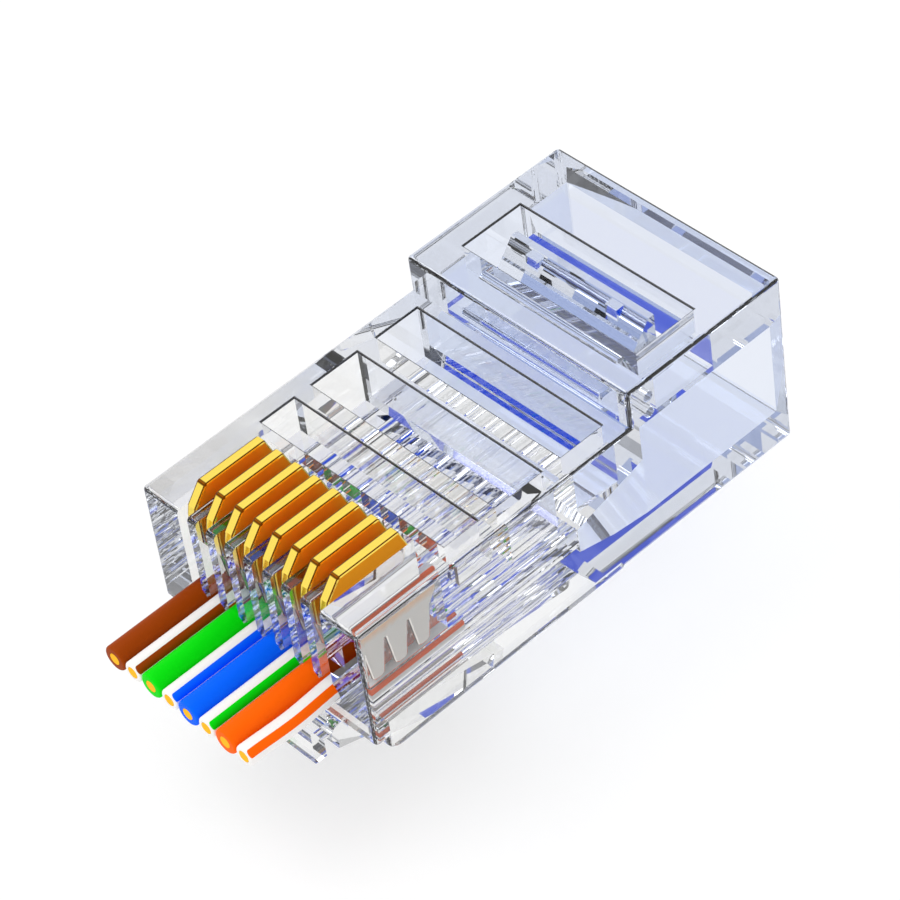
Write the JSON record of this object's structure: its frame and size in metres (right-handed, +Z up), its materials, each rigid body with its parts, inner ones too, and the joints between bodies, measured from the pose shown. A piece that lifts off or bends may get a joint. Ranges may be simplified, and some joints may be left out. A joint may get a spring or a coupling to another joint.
{
  "type": "rj45 modular plug",
  "caption": "Clear pass-through modular plug for network cable, with blade contacts, a flexing latch, a strain relief bar and colour-coded conductors fed through its nose.",
  "frame": {"origin": "middle of the nose's front face, half-way up the body: the datum that enters the jack", "axes": "+Y from the nose back to the cable, +Z up to the contact side, +X across, so contact 1 is at +X"},
  "size_m": [0.0116, 0.0258, 0.0122],
  "materials": {
    "clear_polycarbonate": "clear polycarbonate moulding, polished faces",
    "gold_plated_bronze": "gold-plated stamped phosphor bronze",
    "copper": "bare drawn copper",
    "insulation_white": "extruded insulation, striped",
    "insulation_orange": "extruded insulation",
    "insulation_blue": "extruded insulation",
    "insulation_green": "extruded insulation",
    "insulation_brown": "extruded insulation"
  },
  "bodies": {
    "housing": {"housing": "clear_polycarbonate", "insulation_white_orange": "insulation_white", "insulation_orange": "insulation_orange", "insulation_white_green": "insulation_white", "insulation_blue": "insulation_blue", "insulation_white_blue": "insulation_white", "insulation_green": "insulation_green", "insulation_white_brown": "insulation_white", "insulation_brown": "insulation_brown", "conductor_white_orange": "copper", "conductor_orange": "copper", "conductor_white_green": "copper", "conductor_blue": "copper", "conductor_white_blue": "copper", "conductor_green": "copper", "conductor_white_brown": "copper", "conductor_brown": "copper"},
    "latch_lever": {"latch_lever": "clear_polycarbonate"},
    "strain_relief_bar": {"strain_relief_bar": "clear_polycarbonate"},
    "contact_1": {"contact_1": "gold_plated_bronze"},
    "contact_2": {"contact_2": "gold_plated_bronze"},
    "contact_3": {"contact_3": "gold_plated_bronze"},
    "contact_4": {"contact_4": "gold_plated_bronze"},
    "contact_5": {"contact_5": "gold_plated_bronze"},
    "contact_6": {"contact_6": "gold_plated_bronze"},
    "contact_7": {"contact_7": "gold_plated_bronze"},
    "contact_8": {"contact_8": "gold_plated_bronze"}
  },
  "joints": [
    {"name": "latch_press", "type": "hinge", "parent": "housing", "child": "latch_lever", "pos_m": [0, 0.00045, -0.00405], "axis": [1, 0, 0], "range_deg": [0, 13.5], "stiffness_Nm_per_rad": 0.2},
    {"name": "relief_bar_press", "type": "hinge", "parent": "housing", "child": "strain_relief_bar", "pos_m": [0, 0.0154, 0.003], "axis": [-1, 0, 0], "range_deg": [0, 40]},
    {"name": "contact_1_press", "type": "slide", "parent": "housing", "child": "contact_1", "axis": [0, 0, -1], "range_m": [0, 0.00095], "deforming": ["insulation_white_orange", "conductor_white_orange"]},
    {"name": "contact_2_press", "type": "slide", "parent": "housing", "child": "contact_2", "axis": [0, 0, -1], "range_m": [0, 0.00095], "deforming": ["insulation_orange", "conductor_orange"]},
    {"name": "contact_3_press", "type": "slide", "parent": "housing", "child": "contact_3", "axis": [0, 0, -1], "range_m": [0, 0.00095], "deforming": ["insulation_white_green", "conductor_white_green"]},
    {"name": "contact_4_press", "type": "slide", "parent": "housing", "child": "contact_4", "axis": [0, 0, -1], "range_m": [0, 0.00095], "deforming": ["insulation_blue", "conductor_blue"]},
    {"name": "contact_5_press", "type": "slide", "parent": "housing", "child": "contact_5", "axis": [0, 0, -1], "range_m": [0, 0.00095], "deforming": ["insulation_white_blue", "conductor_white_blue"]},
    {"name": "contact_6_press", "type": "slide", "parent": "housing", "child": "contact_6", "axis": [0, 0, -1], "range_m": [0, 0.00095], "deforming": ["insulation_green", "conductor_green"]},
    {"name": "contact_7_press", "type": "slide", "parent": "housing", "child": "contact_7", "axis": [0, 0, -1], "range_m": [0, 0.00095], "deforming": ["insulation_white_brown", "conductor_white_brown"]},
    {"name": "contact_8_press", "type": "slide", "parent": "housing", "child": "contact_8", "axis": [0, 0, -1], "range_m": [0, 0.00095], "deforming": ["insulation_brown", "conductor_brown"]}
  ]
}
